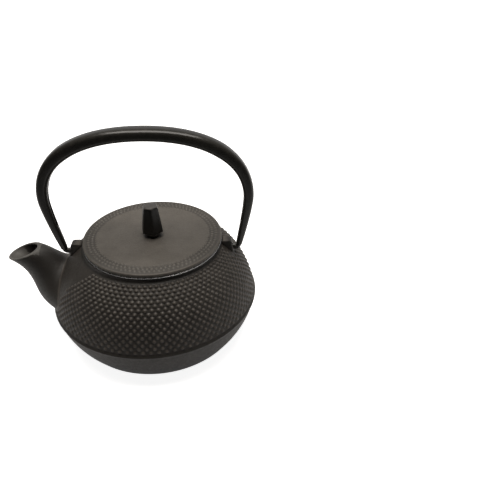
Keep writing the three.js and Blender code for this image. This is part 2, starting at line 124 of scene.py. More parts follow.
# How far in the mouth is painted paler: a painted highlight on its rim all round, and painted light on
# its upward floor.
MOUTH_RIM_DEPTH = 0.5
MOUTH_FLOOR_DEPTH = 7.0
MOUTH_FLOOR_HALF_WIDTH = 7.4
MOUTH_FLOOR_RISE = 0.45  # upward part of a floor face's normal
FILLET_ON_SPOUT = 3.5
FILLET_ON_BODY = 3.0
FILLET_SUNK = 0.12  # how far its foot lies under the pot's surface
FILLET_RINGS = 10
SPOUT_SIDES = 64
SPOUT_RINGS = 34
SPOUT_SAMPLES = 801
BORE_SIDES = 48
BORE_RINGS = 28

# Lugs and pivot.
PIVOT_Z = 63.45
LUG_THICKNESS = 7.2
LUG_OUTLINE = [
    (44.0, 62.0),
    (46.5, 66.0),
    (48.2, 69.4),
    (49.2, 70.3),
    (54.2, 70.3),
    (55.6, 69.2),
    (57.2, 60.5),
    (50.0, 58.0),
]
LUG_BEVEL = 0.9
LUG_HOLE_RADIUS = 2.3
LUG_HOLE_SIDES = 32
LUG_HOLE_BOTTOM_X = 49.9
LUG_HOLE_END_X = 60.2

# Bail handle, about the pivot.
ARCH = [(0, 84.9), (46.4, 84.9), (67.4, 65.05), (67.4, 40.2)]
LEG = [(67.4, 40.2), (67.4, 32.2), (60.85, 2.5)]
# Fraction of the way from the crown to the foot, half thickness, half width.
HANDLE_STATIONS = [
    (0.0, 4.0, 6.4),
    (0.4, 4.4, 5.55),
    (0.7, 3.5, 3.95),
    (0.93, 2.5, 2.9),
    (1.0, 2.1, 2.15),
]
HANDLE_SHEET = 1.3
HANDLE_SQUARENESS = 3.0
HANDLE_SEAM = 2.4  # width of the open seam on the underside
HANDLE_SEAM_DROP = 4.0
HANDLE_SEAM_SQUARENESS = 8.0
HANDLE_HOLLOW_END = 0.86
HOOK_RADIUS = 1.95
HOOK_TIP_X = 50.6
HOOK_TIP_CHAMFER = 0.4

# The infuser and the lid lie this far off the pot's centre, along X.
LOOSE_SHIFT = 1.25

# Lid.
LID_RADIUS = 47.45
LID_UNDERSIDE_Z = 72.4
LID_TOP_Z = 75.35
LID_PLATE_UNDERSIDE_Z = 72.0
LID_PLATE_SUNK = 0.25  # the plain middle under the tops of the hobnails
LID_FOOT_ROUNDING = 0.7
LID_EDGE_ROUNDING = 1.0
LID_GROUND_RADIUS = 45.65
LID_GROUND_WIDTH = 7.75
LID_DOTS_FROM = 39.0  # the hobnails lie between these two radii
LID_DOTS_TO = 46.6
LID_SKIRT_OUTER = 39.1
LID_SKIRT_INNER = 37.3
LID_SKIRT_BOTTOM_Z = 66.4
BOSS_RADIUS = 5.2
BOSS_TOP_Z = 76.5
STUD_HOLE_RADIUS = 2.4

# Knob.
KNOB_BOTTOM_Z = 76.8
KNOB_FOOT_TOP_Z = 78.3  # bare metal below this, coloured pale as a painted reflection of the lit lid
KNOB_CROWN_Z = 97.0  # paler above this: worn, with painted light on the flat top
KNOB_RIDGES = 6
KNOB_TURN = 41.5  # degrees from +X to the first ridge
# Height, radius over the ridges, and how far the faces dip between them as a share of it.
KNOB_PROFILE = [
    (76.8, 5.7, 0.1),
    (76.88, 6.05, 0.105),
    (77.2, 6.3, 0.11),
    (78.05, 6.4, 0.11),
    (78.3, 6.55, 0.11),
    (78.42, 7.3, 0.11),
    (78.5, 7.66, 0.115),
    (78.7, 7.78, 0.115),
    (79.1, 7.76, 0.115),
    (82.0, 7.42, 0.115),
    (86.0, 6.93, 0.115),
    (90.0, 6.38, 0.115),
    (94.0, 5.78, 0.115),
    (96.4, 5.4, 0.115),
    (96.9, 5.26, 0.11),
    (97.3, 5.0, 0.105),
    (97.58, 4.6, 0.1),
    (97.69, 4.2, 0.09),
    (97.7, 2.5, 0.05),
]
KNOB_SIDES = 16 * KNOB_RIDGES
STUD_RADIUS = 2.1
STUD_SIDES = 48
STUD_IN_KNOB = 2.0
WASHER_RADIUS = 5.6
WASHER_BOTTOM_Z = 70.9
WASHER_TOP_Z = 71.7
WASHER_ROUNDING = 0.2
WASHER_SEGMENTS = 64
RIVET_HEAD_RADIUS = 3.6
RIVET_HEAD_TOP_Z = 70.6
RIVET_HEAD_HEIGHT = 1.3

# Infuser.
FLANGE_RADIUS = 47.4
FLANGE_BOTTOM_Z = 71.6
RIM_SHEET = 0.5
RIM_BAND_INNER = 40.45
RIM_BAND_BOTTOM_Z = 63.0
BASKET_TOP_RADIUS = 40.15
BASKET_TOP_Z = 70.8
BASKET_FOOT_RADIUS = 38.6
BASKET_BOTTOM_Z = 29.4
BOTTOM_RING_TOP_Z = 33.9
BOTTOM_RING_LIP = 3.5
BOTTOM_MESH_RADIUS = 38.4
BOTTOM_MESH_Z = 30.45
SIDE_MESH_BOTTOM_Z = BASKET_BOTTOM_Z + 1.6
WIRE_PITCH = 1.25
WIRE_RADIUS = 0.12
RING_SEGMENTS = 160

# ---- curves


def bezier(points, t):
    """Points of a Bezier curve of any degree at the numbers t."""
    t = np.atleast_1d(np.asarray(t, float))[:, None]
    level = [np.asarray(p, float).reshape(1, -1) for p in points]
    while len(level) > 1:
        level = [(1 - t) * a + t * b for a, b in zip(level, level[1:])]
    return level[0]


def arc(centre, radius, start, end, steps):
    """[radius, z] points round a corner, angles in degrees."""
    angles = np.radians(np.linspace(start, end, steps + 1))
    return [(centre[0] + radius * math.cos(a), centre[1] + radius * math.sin(a)) for a in angles]


class Profile:
    """A line of [radius, z] points, measured along its length."""

    def __init__(self, points):
        self.points = np.asarray(points, float)
        steps = np.hypot(*np.diff(self.points, axis=0).T)
        self.along = np.concatenate([[0.0], np.cumsum(steps)])
        tangent = np.gradient(self.points, self.along, axis=0)
        tangent /= np.linalg.norm(tangent, axis=1)[:, None]
        self.normals = np.column_stack([tangent[:, 1], -tangent[:, 0]])

    def at(self, s):
        return np.array([np.interp(s, self.along, self.points[:, i]) for i in (0, 1)])

    def normal(self, s):
        n = np.array([np.interp(s, self.along, self.normals[:, i]) for i in (0, 1)])
        return n / np.linalg.norm(n)


# ---- meshes


def new_piece(name, points, faces):
    """A mesh object from points in millimetres."""
    mesh = bpy.data.meshes.new(name)
    mesh.from_pydata((np.asarray(points, float) * MM).tolist(), [], [list(f) for f in faces])
    mesh.update()
    piece = bpy.data.objects.new(name, mesh)
    bpy.context.scene.collection.objects.link(piece)
    return piece


class Skin:
    """Points and faces of a surface turned about Z, made ring by ring in the direction of travel."""

    def __init__(self, segments):
        self.segments = segments
        self.points = []
        self.faces = []

    def add(self, point):
        self.points.append(tuple(point))
        return len(self.points) - 1

    def ring(self, radius, z):
        angles = 2 * math.pi * np.arange(self.segments) / self.segments
        return [self.add((radius * math.cos(a), radius * math.sin(a), z)) for a in angles]

    def bridge(self, before, after):
        """A strip of faces between two rings of one length."""
        for k in range(len(before)):
            nxt = (k + 1) % len(before)
            self.faces.append((before[k], before[nxt], after[nxt], after[k]))

    def fan(self, ring, apex):
        for k in range(len(ring)):
            self.faces.append((ring[k], ring[(k + 1) % len(ring)], apex))

    def rings(self, profile, start=None):
        """Carries the skin on through a profile, and gives back its last ring."""
        for radius, z in profile:
            ring = self.ring(radius, z)
            if start is not None:
                self.bridge(start, ring)
            start = ring
        return start

    def cap(self, ring, z, opening):
        """Closes the skin on the axis: opening is True at its start and False at its end."""
        centre = self.add((0.0, 0.0, z))
        for k in range(self.segments):
            nxt = (k + 1) % self.segments
            self.faces.append((centre, ring[nxt], ring[k]) if opening else (centre, ring[k], ring[nxt]))


def loft(rings, capped=True):
    """Points and faces of a skin through rings of points, closed at its two ends when capped."""
    sides = len(rings[0])
    points = [tuple(p) for ring in rings for p in ring]
    faces = []
    for i in range(len(rings) - 1):
        for j in range(sides):
            a = i * sides + j
            b = i * sides + (j + 1) % sides
            faces.append((a, b, b + sides, a + sides))
    for ring, flip in ((0, True), (len(rings) - 1, False)) if capped else ():
        centre = len(points)
        points.append(tuple(np.mean(np.asarray(rings[ring], float), axis=0)))
        for j in range(sides):
            a = ring * sides + j
            b = ring * sides + (j + 1) % sides
            faces.append((centre, b, a) if flip else (centre, a, b))
    return points, faces


def lofted(name, rings):
    return face_outwards(new_piece(name, *loft(rings)))


def turned_solid(name, profile, segments):
    """A profile turned about Z and closed on the axis at both its ends."""
    skin = Skin(segments)
    last = skin.rings(profile)
    skin.cap(list(range(segments)), profile[0][1], True)
    skin.cap(last, profile[-1][1], False)
    return new_piece(name, skin.points, skin.faces)


def face_outwards(piece):
    """Turns every face of a closed mesh to face out."""
    mesh = bmesh.new()
    mesh.from_mesh(piece.data)
    bmesh.ops.recalc_face_normals(mesh, faces=mesh.faces)
    mesh.to_mesh(piece.data)
    mesh.free()
    return piece


def apply_modifiers(piece):
    """Makes what the modifiers show the piece's own mesh."""
    graph = bpy.context.evaluated_depsgraph_get()
    made = bpy.data.meshes.new_from_object(piece.evaluated_get(graph))
    piece.modifiers.clear()
    old = piece.data
    piece.data = made
    bpy.data.meshes.remove(old)
    return piece


def combine(piece, tool, operation):
    """Joins a tool to a piece, or cuts it away, and removes the tool."""
    modifier = piece.modifiers.new("combine", "BOOLEAN")
    modifier.operation = operation
    modifier.solver = "MANIFOLD"
    modifier.object = tool
    apply_modifiers(piece)
    bpy.data.objects.remove(tool)
    return piece


def bevelled(piece, width, segments=4, angle=30.0):
    """Rounds off the edges that are sharper than the angle."""
    modifier = piece.modifiers.new("bevel", "BEVEL")
    modifier.width = width * MM
    modifier.segments = segments
    modifier.limit_method = "ANGLE"
    modifier.angle_limit = math.radians(angle)
    return apply_modifiers(piece)


def smooth(piece, angle=35.0):
    """Shades a piece smooth, with edges sharper than the angle kept crisp."""
    piece.data.shade_smooth()
    piece.data.set_sharp_from_angle(angle=math.radians(angle))
    return piece


# ---- hobnails

random = np.random.default_rng(20)


def dotted_band(skin, profile, start, rows, first, pitch, radius, height, plain=None):
    """Rows of hobnails in six-sided cells, from ring start on, and gives back the band's last ring.

    A row's cells sit half a cell round from the row before. The dots stand proud of the profile.
    plain(angle, z) says where the casting has no dots.
    """
    count = skin.segments  # two steps to each cell
    step = 2 * math.pi / count
    zigzag = pitch / 6

    def surface(angle, s, lift=0.0):
        r, z = profile.at(s)
        nr, nz = profile.normal(s)
        r += nr * lift
        return (r * math.cos(angle), r * math.sin(angle), z + nz * lift)

    def boundary(s, row):
        """Between this row and the next; row is None on the band's own straight edge."""
        ring = []
        for h in range(count):
            shift = 0.0
            if row is not None:
                shift = zigzag if h % 2 == row % 2 else -zigzag
            ring.append(skin.add(surface(h * step, s + shift)))
        return ring

    def dot_ring(angle, middle, reach, lift):
        """A round of points at this reach from a dot's middle."""
        row_radius = profile.at(middle)[0]
        ring = []
        for turn in np.radians(-30 + 360 * np.arange(DOT_SIDES) / DOT_SIDES):
            a = angle + reach * math.cos(turn) / row_radius
            s = middle + reach * math.sin(turn)
            ring.append(skin.add(surface(a, s, lift)))
        return ring

    def hobnail(corners, angle, middle, size, tall):
        """A dome that fills a cell; its foot keeps one size so that it meets the cell's corners."""
        outer = None
        for share, rise in DOT_PROFILE:
            reach = radius * share * (size if share < 1 else 1.0)
            ring = dot_ring(angle, middle, reach, height * rise * tall)
            if outer is None:
                for e in range(6):
                    a, b = corners[e], corners[(e + 1) % 6]
                    f0, f1, f2 = ring[2 * e], ring[2 * e + 1], ring[(2 * e + 2) % DOT_SIDES]
                    skin.faces += [(a, b, f1), (a, f1, f0), (b, f2, f1)]
            else:
                skin.bridge(outer, ring)
            outer = ring
        skin.fan(outer, skin.add(surface(angle, middle, height * min(tall, 1.0))))

    below = boundary(first - EDGE_ROW_REACH * pitch, None)
    skin.bridge(start, below)
    for row in range(rows):
        middle = first + row * pitch
        if row < rows - 1:
            above = boundary(middle + 0.5 * pitch, row)
        else:
            above = boundary(middle + EDGE_ROW_REACH * pitch, None)
        for h in range(row % 2, count, 2):
            left, right = (h - 1) % count, (h + 1) % count
            corners = [below[right], above[right], above[h], above[left], below[left], below[h]]
            size, tall = 1.0 + DOT_UNEVENNESS * random.uniform(-1, 1, 2)
            if plain is not None and plain(h * step, profile.at(middle)[1]):
                skin.fan(corners, skin.add(surface(h * step, middle)))
            else:
                hobnail(corners, h * step, middle, size, tall)
        below = above
    return below


# ---- pot body

shoulder = Profile(bezier(SHOULDER, np.linspace(0, 1, 300)))
ground_points = shoulder.points - shoulder.normals * BODY_DOT_HEIGHT
ground = Profile(ground_points[ground_points[:, 1] > GROUND_START_Z])
band_points = bezier(BAND, np.linspace(0, 1, 15))


def ground_radius(z):
    """The plain outside radius of the pot at a height."""
    outline = np.vstack([band_points, ground.points])
    return np.interp(z, outline[:, 1], outline[:, 0])


def plain_patch(angle, z):
    """Where the pot has no hobnails: round the root of the spout and at the foot of the far lug."""
    from_spout = abs(abs(math.degrees((angle + math.pi) % (2 * math.pi) - math.pi)) - 180)
    at_spout = from_spout < np.interp(z, *zip(*PLAIN_AT_SPOUT))
    at_lug = from_spout > 180 - PLAIN_AT_LUG and z > PLAIN_AT_LUG_Z
    return at_spout or at_lug


def pot_skin():
    """The pot's outside without its spout and lugs, still solid inside."""
    skin = Skin(2 * DOTS_PER_ROW)
    corner = (BASE_RADIUS - BASE_ROUNDING, BASE_ROUNDING)
    ring = skin.rings([(BASE_MIDDLE_RADIUS, 0.0), *arc(corner, BASE_ROUNDING, -90, -10, 3)])
    skin.cap(list(range(skin.segments)), 0.0, True)
    ring = skin.rings([*band_points, *LIP], ring)
    ring = dotted_band(skin, ground, ring, plain=plain_patch, **BODY_DOTS)
    neck = [
        *NECK,
        (COLLAR_RADIUS, COLLAR_FOOT_Z),
        (COLLAR_RADIUS, COLLAR_TOP_Z - 0.5),
        (COLLAR_RADIUS - 0.15, COLLAR_TOP_Z - 0.15),
        (COLLAR_RADIUS - 0.5, COLLAR_TOP_Z),
    ]
    ring = skin.rings(neck, ring)
    skin.cap(ring, COLLAR_TOP_Z, False)
    return new_piece("cast_iron_pot", skin.points, skin.faces)


def cavity():
    """The inside of the pot, up through its mouth."""
    wall = Profile(np.vstack([band_points, bezier(SHOULDER, np.linspace(0.02, 1, 24))]))
    inner = wall.points - wall.normals * WALL
    neck, opening, top = NECK_UNDERSIDE_Z, OPENING_RADIUS, COLLAR_TOP_Z
    side = [tuple(p) for p in inner if FLOOR_Z + 4 < p[1] < neck - 1.5]
    low, high = side[0][0], side[-1][0]
    profile = [
        (30.0, FLOOR_Z),
        (low - 5.5, FLOOR_Z),
        (low - 2.6, FLOOR_Z + 0.9),
        (low - 0.9, FLOOR_Z + 2.4),
        *side,
        (high - 1.4, neck - 0.5),
        (high - 3.2, neck),
        (opening + 1.2, neck),
        (opening + 0.35, neck + 0.35),
        (opening, neck + 1.2),
        (opening, top - 0.6),
        (opening + 0.2, top - 0.2),
        (opening + 0.6, top),
        (opening + 0.9, top + 3),
    ]
    return turned_solid("cavity", profile, CAVITY_SEGMENTS)


def oval(t, angles, roof, keel, widths):
    """Points of the spout's cross sections: t and angles are arrays of one length."""
    upper, lower = bezier(roof, t), bezier(keel, t)
    half_width = bezier([(w,) for w in widths], t)[:, 0]
    along, across = np.cos(angles), np.sin(angles)
    middle, half = (upper + lower) / 2, (upper - lower) / 2
    return np.column_stack(
        [middle[:, 0] + half[:, 0] * along, half_width * across, middle[:, 1] + half[:, 1] * along]
    )


def spout_column(angle):
    """One line along the spout, from inside the pot over the fillet at its root to its mouth."""
    t = np.linspace(0, 1, SPOUT_SAMPLES)
    line = oval(t, np.full_like(t, angle), RIDGE, KEEL, SPOUT_HALF_WIDTHS)
    outside = np.hypot(line[:, 0], line[:, 1]) > ground_radius(line[:, 2])
    leaves = np.nonzero(~outside)[0].max() + 1
    exit_point = line[leaves]
    length = np.concatenate([[0], np.cumsum(np.linalg.norm(np.diff(line, axis=0), axis=1))])
    start = np.searchsorted(length, length[leaves] + FILLET_ON_SPOUT)
    section = oval([t[leaves]] * 2, np.array([0, math.pi]), RIDGE, KEEL, SPOUT_HALF_WIDTHS)

    # The fillet's foot lies across the pot's own surface, away from the spout.
    radius = math.hypot(exit_point[0], exit_point[1])
    slope = ground_radius(exit_point[2] + 0.5) - ground_radius(exit_point[2] - 0.5)
    normal = np.array([exit_point[0] / radius, exit_point[1] / radius, -slope])
    normal /= np.linalg.norm(normal)
    away = exit_point - section.mean(axis=0)
    away -= normal * (away @ normal)
    away /= np.linalg.norm(away)
    foot = exit_point + away * FILLET_ON_BODY
    foot[:2] *= (ground_radius(foot[2]) - FILLET_SUNK) / math.hypot(foot[0], foot[1])

    fillet = bezier([foot, exit_point, line[start]], np.linspace(0, 1, FILLET_RINGS))
    rest = np.interp(np.linspace(t[start], 1.0, SPOUT_RINGS)[1:], t, np.arange(len(t)))
    return np.vstack([line[0], fillet, line[np.round(rest).astype(int)]])


def unit_rows(vectors):
    return vectors / np.linalg.norm(vectors, axis=1)[:, None]


def spout():
    """The spout's outside, with a fillet into the pot and a rounded edge at its mouth."""
    columns = [spout_column(angle) for angle in 2 * math.pi * np.arange(SPOUT_SIDES) / SPOUT_SIDES]
    rings = list(np.stack(columns, axis=1))
    mouth = rings.pop()
    inwards = unit_rows(mouth.mean(axis=0) - mouth)
    back = unit_rows(rings[-1] - mouth)
    for drawn_in, drawn_back in MOUTH_ROUNDING:
        rings.append(mouth + inwards * drawn_in + back * drawn_back)
    return lofted("spout", rings)


def bore():
    """The way through the spout, flared at the mouth."""
    angles = 2 * math.pi * np.arange(BORE_SIDES) / BORE_SIDES
    rings = []
    for t in np.linspace(0, 1, BORE_RINGS):
        rings.append(oval(np.full(BORE_SIDES, t), angles, BORE_ROOF, BORE_FLOOR, BORE_HALF_WIDTHS))
    mouth = rings.pop()
    outwards = unit_rows(mouth - mouth.mean(axis=0))
    across = mouth[0] - mouth[BORE_SIDES // 2]
    along = np.array([-across[2], 0.0, across[0]])
    along /= np.linalg.norm(along)
    for flare, ahead in BORE_FLARE:
        rings.append(mouth + outwards * flare + along * ahead)
    return lofted("bore", rings)


def lug(side):
    """A plate across the pot's shoulder that holds one end of the bail."""
    half = LUG_THICKNESS / 2
    outline = [(side * x, z) for x, z in LUG_OUTLINE]
    rings = [[(x, y, z) for x, z in outline] for y in (-half, half)]
    points, faces = loft(rings, capped=False)
    faces += [range(len(outline)), range(len(outline), 2 * len(outline))]
    return bevelled(face_outwards(new_piece("lug", points, faces)), LUG_BEVEL)


def lug_hole(side):
    """The blind hole for the bail's hooked end, a little narrower at its bottom."""
    angles = 2 * math.pi * np.arange(LUG_HOLE_SIDES) / LUG_HOLE_SIDES
    stations = [
        (LUG_HOLE_BOTTOM_X, LUG_HOLE_RADIUS - 0.3),
        (LUG_HOLE_BOTTOM_X + 0.3, LUG_HOLE_RADIUS),
        (LUG_HOLE_END_X, LUG_HOLE_RADIUS),
    ]
    rings = []
    for x, radius in stations:
        rings.append([(side * x, radius * math.cos(a), PIVOT_Z + radius * math.sin(a)) for a in angles])
    return lofted("lug_hole", rings)


def make_pot():
    pot = pot_skin()
    combine(pot, spout(), "UNION")
    for side in (-1, 1):
        combine(pot, lug(side), "UNION")
    combine(pot, cavity(), "DIFFERENCE")
    combine(pot, bore(), "DIFFERENCE")
    for side in (-1, 1):
        combine(pot, lug_hole(side), "DIFFERENCE")
    return smooth(pot, 50.0)


# ---- lid


def make_lid():
    skin = Skin(2 * DOTS_PER_ROW)
    ground_z = LID_TOP_Z - LID_DOT_HEIGHT
    plate_z = LID_TOP_Z - LID_PLATE_SUNK
    foot, edge = LID_FOOT_ROUNDING, LID_EDGE_ROUNDING
    inner, outer, low, high = LID_SKIRT_INNER, LID_SKIRT_OUTER, LID_SKIRT_BOTTOM_Z, LID_PLATE_UNDERSIDE_Z
    first = skin.ring(STUD_HOLE_RADIUS, high)
    underside = [
        (inner - 1.2, high),
        (inner - 0.35, high - 0.35),
        (inner, high - 1.2),
        (inner, low + 0.4),
        (inner + 0.4, low),
        (outer - 0.6, low),
        (outer - 0.15, low + 0.2),
        (outer, low + 0.6),
        (outer, LID_UNDERSIDE_Z - 0.4),
        (outer + 0.4, LID_UNDERSIDE_Z),
        *arc((LID_RADIUS - foot, LID_UNDERSIDE_Z + foot), foot, -90, 0, 4),
        *arc((LID_RADIUS - edge, ground_z + 0.25 - edge), edge, 0, 90, 5),
        (LID_RADIUS - 1.5, ground_z + 0.05),
    ]
    ring = skin.rings(underside, first)
    flat = Profile([(LID_GROUND_RADIUS, ground_z), (LID_GROUND_RADIUS - LID_GROUND_WIDTH, ground_z)])
    ring = dotted_band(skin, flat, ring, **LID_DOTS)
    top = [
        (38.5, plate_z - 0.12),
        (38.1, plate_z - 0.02),
        (37.7, plate_z),
        (30.0, plate_z + 0.03),
        (20.0, plate_z + 0.05),
        (BOSS_RADIUS + 1.6, plate_z + 0.05),
        (BOSS_RADIUS + 0.4, plate_z + 0.15),
        (BOSS_RADIUS, plate_z + 0.5),
        (BOSS_RADIUS, BOSS_TOP_Z - 0.5),
        (BOSS_RADIUS - 0.15, BOSS_TOP_Z - 0.15),
        (BOSS_RADIUS - 0.5, BOSS_TOP_Z),
        (STUD_HOLE_RADIUS, BOSS_TOP_Z),
    ]
    ring = skin.rings(top, ring)
    skin.bridge(ring, first)
    return smooth(new_piece("cast_iron_lid", skin.points, skin.faces), 50.0)


def stud():
    """The knob's stud through the lid, peened over into a round head on the washer."""
    bottom = RIVET_HEAD_TOP_Z - RIVET_HEAD_HEIGHT
    profile = [
        (1.2, bottom),
        (2.4, bottom + 0.12),
        (3.2, bottom + 0.45),
        (RIVET_HEAD_RADIUS, bottom + 0.85),
        (RIVET_HEAD_RADIUS, RIVET_HEAD_TOP_Z),
        (STUD_RADIUS, RIVET_HEAD_TOP_Z),
        (STUD_RADIUS, KNOB_BOTTOM_Z + STUD_IN_KNOB),
    ]
    return turned_solid("stud", profile, STUD_SIDES)


def make_knob():
    rings = []
    for z, radius, depth in KNOB_PROFILE:
        ring = []
        for j in range(KNOB_SIDES):
            angle = 2 * math.pi * j / KNOB_SIDES
            reach = radius * (1 - depth * abs(math.sin(KNOB_RIDGES * angle / 2)))
            turn = angle + math.radians(KNOB_TURN)
            ring.append((reach * math.cos(turn), reach * math.sin(turn), z))
        rings.append(ring)
    knob = lofted("knob", rings)
    combine(knob, stud(), "UNION")
    return smooth(knob, 28.0)


def shifted(piece):
    """Moves a piece of the lid or the infuser to where it lies in the pot's mouth."""
    piece.data.transform(Matrix.Translation((LOOSE_SHIFT * MM, 0.0, 0.0)))
    return piece


def turned_piece(name, profile, segments, angle=35.0):
    """A ring: a closed profile turned about Z."""
    skin = Skin(segments)
    last = skin.rings(profile)
    skin.bridge(last, list(range(segments)))
    return smooth(face_outwards(new_piece(name, skin.points, skin.faces)), angle)


def make_washer():
    rounding, bottom, top = WASHER_ROUNDING, WASHER_BOTTOM_Z, WASHER_TOP_Z
    profile = [
        (STUD_HOLE_RADIUS, bottom),
        (WASHER_RADIUS - rounding, bottom),
        (WASHER_RADIUS, bottom + rounding),
        (WASHER_RADIUS, top - rounding),
        (WASHER_RADIUS - rounding, top),
        (STUD_HOLE_RADIUS, top),
    ]
    return turned_piece("washer", profile, WASHER_SEGMENTS)


# ---- bail handle


def handle_half_line():
    """The bail's middle line from its crown to the foot of a leg, about the pivot."""
    arch = bezier(ARCH, np.linspace(0, 1, 400))
    leg = bezier(LEG, np.linspace(0, 1, 160))[1:]
    return np.vstack([arch, leg])


def handle_sections(reach, sides, steps, inset=0.0, power=HANDLE_SQUARENESS, width=None, drop=0.0):
    """Cross sections along both halves of the bail, as far as reach, a share of a half's length.

    They are rounded oblongs, squarer as power grows. inset thins them, width is half of a fixed
    width, and drop moves them towards the bail's underside.
    """
    line = handle_half_line()
    length = np.concatenate([[0], np.cumsum(np.hypot(*np.diff(line, axis=0).T))])
    tangents = np.gradient(line, length, axis=0)
    stations = np.array(HANDLE_STATIONS)
    rings = []
    for i in range(steps, -steps - 1, -1):
        side = -1 if i < 0 else 1
        s = reach * abs(i) / steps * length[-1]
        x, z = (np.interp(s, length, line[:, k]) for k in (0, 1))
        tx, tz = (np.interp(s, length, tangents[:, k]) for k in (0, 1))
        norm = math.hypot(tx, tz)
        out = np.array([-tz, tx]) / norm
        fraction = s / length[-1]
        thick = np.interp(fraction, stations[:, 0], stations[:, 1]) - inset
        wide = np.interp(fraction, stations[:, 0], stations[:, 2]) - inset if width is None else width
        ring = []
        for j in range(sides):
            angle = 2 * math.pi * (j + 0.5) / sides
            c, d = math.cos(angle), math.sin(angle)
            along = math.copysign(abs(c) ** (2 / power), c) * thick - drop
            across = math.copysign(abs(d) ** (2 / power), d) * wide
            ring.append((side * (x + out[0] * along), across, PIVOT_Z + z + out[1] * along))
        rings.append(ring)
    return rings


def hook(side):
    """The round rod at the foot of a leg, bent inwards into the lug."""
    foot_x, foot_z = LEG[-1]
    bend = bezier([(foot_x, foot_z), (foot_x - 0.45, 0.0), (foot_x - 3, 0.0)], np.linspace(0, 1, 14))
    tip = [(HOOK_TIP_X + HOOK_TIP_CHAMFER, 0.0), (HOOK_TIP_X, 0.0)]
    line = np.vstack([[(foot_x + 0.45, foot_z + 2)], bend, tip])
    tangents = np.gradient(line, axis=0)
    rings = []
    for i, ((x, z), (tx, tz)) in enumerate(zip(line, tangents)):
        norm = math.hypot(tx, tz)
        out = (-tz / norm, tx / norm)
        radius = HOOK_RADIUS - (HOOK_TIP_CHAMFER if i == len(line) - 1 else 0.0)
        ring = []
        for angle in 2 * math.pi * np.arange(24) / 24:
            a, b = radius * math.cos(angle), radius * math.sin(angle)
            ring.append((side * (x + out[0] * a), b, PIVOT_Z + z + out[1] * a))
        rings.append(ring)
    return lofted("hook", rings)


def make_handle():
    """A bail folded from sheet: hollow, with an open seam along its underside."""
    outside = handle_sections(1.0, sides=56, steps=90)
    inside = handle_sections(HANDLE_HOLLOW_END, sides=40, steps=70, inset=HANDLE_SHEET)
    slot = handle_sections(
        HANDLE_HOLLOW_END,
        sides=24,
        steps=70,
        power=HANDLE_SEAM_SQUARENESS,
        width=HANDLE_SEAM / 2,
        drop=HANDLE_SEAM_DROP,
    )
    handle = lofted("bail", outside)
    hollow = lofted("hollow", inside)
    seam = lofted("seam", slot)
    for side in (-1, 1):
        combine(handle, hook(side), "UNION")
    combine(handle, hollow, "DIFFERENCE")
    combine(handle, seam, "DIFFERENCE")
    return smooth(handle, 40.0)


# ---- infuser


def make_infuser_rim():
    """The band that hangs in the pot's mouth, and the flange that rests on the collar."""
    bottom, top = FLANGE_BOTTOM_Z, FLANGE_BOTTOM_Z + RIM_SHEET
    inner, outer = RIM_BAND_INNER, RIM_BAND_INNER + RIM_SHEET
    profile = [
        (inner, RIM_BAND_BOTTOM_Z),
        (outer, RIM_BAND_BOTTOM_Z),
        (outer, bottom - 0.4),
        (outer + 0.12, bottom - 0.12),
        (outer + 0.4, bottom),
        (FLANGE_RADIUS - 0.2, bottom),
        (FLANGE_RADIUS, bottom + 0.15),
        (FLANGE_RADIUS, top - 0.15),
        (FLANGE_RADIUS - 0.2, top),
        (inner + 0.9, top),
        (inner + 0.26, top - 0.26),
        (inner, top - 0.9),
    ]
    return turned_piece("infuser_flange", profile, RING_SEGMENTS)


def make_bottom_ring():
    """The channel that holds the woven bottom to the wall."""
    bottom, corner = BASKET_BOTTOM_Z, BASKET_BOTTOM_Z + RIM_SHEET
    lip = BASKET_FOOT_RADIUS - BOTTOM_RING_LIP
    low = BASKET_FOOT_RADIUS + 0.3
    high = low + 0.25
    profile = [
        (lip, bottom),
        (low - 0.3, bottom),
        (low + 0.3, bottom + 0.15),
        (low + RIM_SHEET, bottom + 0.6),
        (high + RIM_SHEET, BOTTOM_RING_TOP_Z),
        (high, BOTTOM_RING_TOP_Z),
        (low, corner + 0.2),
        (low - 0.2, corner),
        (lip, corner),
    ]
    return turned_piece("infuser_channel", profile, RING_SEGMENTS)


def basket_radius(z):
    """From the axis to the middle of the woven wall."""
    share = (z - BASKET_BOTTOM_Z) / (BASKET_TOP_Z - BASKET_BOTTOM_Z)
    return BASKET_FOOT_RADIUS + share * (BASKET_TOP_RADIUS - BASKET_FOOT_RADIUS) - RIM_SHEET / 2


def wire(points, faces, line, normals, sides, closed):
    """Adds a wire along a line: normals point across it."""
    line, normals = np.asarray(line, float), np.asarray(normals, float)
    if closed:
        tangents = np.roll(line, -1, axis=0) - np.roll(line, 1, axis=0)
    else:
        tangents = np.gradient(line, axis=0)
    tangents /= np.linalg.norm(tangents, axis=1)[:, None]
    across = np.cross(tangents, normals)
    first = len(points)
    for p, n, b in zip(line, normals, across):
        for j in range(sides):
            a = 2 * math.pi * j / sides
            points.append(tuple(p + WIRE_RADIUS * (n * math.cos(a) + b * math.sin(a))))
    count = len(line)
    for i in range(count if closed else count - 1):
        here, there = first + i * sides, first + (i + 1) % count * sides
        for j in range(sides):
            nxt = (j + 1) % sides
            faces.append((here + j, here + nxt, there + nxt, there + j))
    if not closed:
        faces.append(tuple(first + j for j in reversed(range(sides))))
        faces.append(tuple(first + (count - 1) * sides + j for j in range(sides)))


def weave(row, step):
    """How far a woven wire passes to one side of the straight wires it crosses, two steps apart."""
    return WIRE_RADIUS * (1 if row % 2 else -1) * math.cos(math.pi * step / 2)


